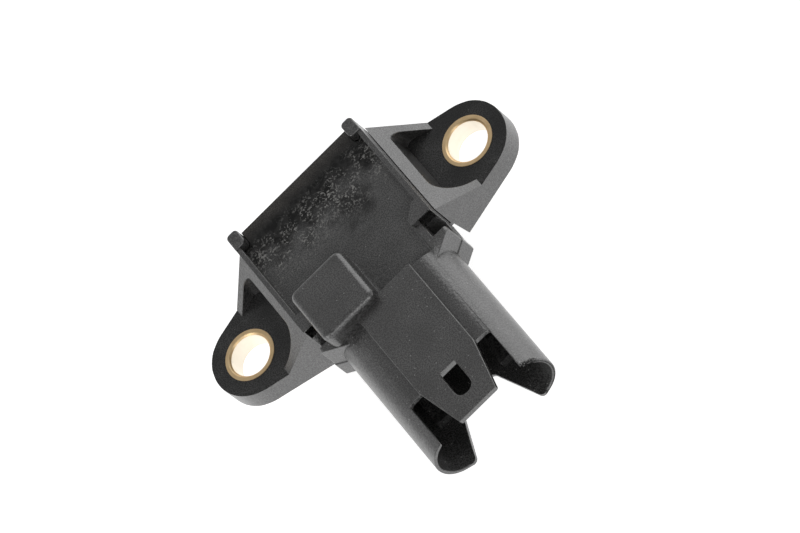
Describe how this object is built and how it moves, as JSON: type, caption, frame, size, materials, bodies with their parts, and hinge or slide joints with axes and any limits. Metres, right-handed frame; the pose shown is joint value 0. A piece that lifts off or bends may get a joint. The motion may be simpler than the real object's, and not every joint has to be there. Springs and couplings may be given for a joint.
{
  "type": "manifold absolute pressure sensor",
  "caption": "Intake manifold pressure sensor: flat moulded body potted on top, bolt ears with brass bushes, O-ring port underneath and an oval connector with a latch tongue.",
  "frame": {"origin": "midway between the two bolt axes, on the underside of the ears", "axes": "+Z away from the manifold along the bolts, the connector opens toward -Y, the bolts lie on X"},
  "size_m": [0.0592, 0.0554, 0.0298],
  "materials": {
    "housing": "fine moulded grain",
    "bracket": "fine moulded grain",
    "bush": "turned",
    "oring": "moulded",
    "bead": "cured silicone",
    "potting": "cured resin, mottled",
    "board": "solder mask",
    "cup": "glazed ceramic",
    "pedestal": "ground",
    "die": "polished silicon",
    "gel": "clear silicone gel",
    "chip": "moulded epoxy",
    "resistor": "glazed",
    "capacitor": "fired ceramic",
    "terminal": "tin plated",
    "solder": "reflowed"
  },
  "bodies": {
    "root": {"sensor_housing": "housing", "mounting_bracket": "bracket", "bush_left": "bush", "bush_right": "bush", "port_oring": "oring", "seal_bead": "bead", "potting": "potting", "circuit_board": "board", "gel_cup": "cup", "glass_pedestal": "pedestal", "pressure_die": "die", "protective_gel": "gel", "signal_chip": "chip", "bias_resistor": "resistor", "capacitor_supply": "capacitor", "capacitor_output": "capacitor", "capacitor_filter": "capacitor", "terminal_ground": "terminal", "terminal_supply": "terminal", "terminal_signal": "terminal", "solder_joints": "solder"}
  },
  "joints": []
}
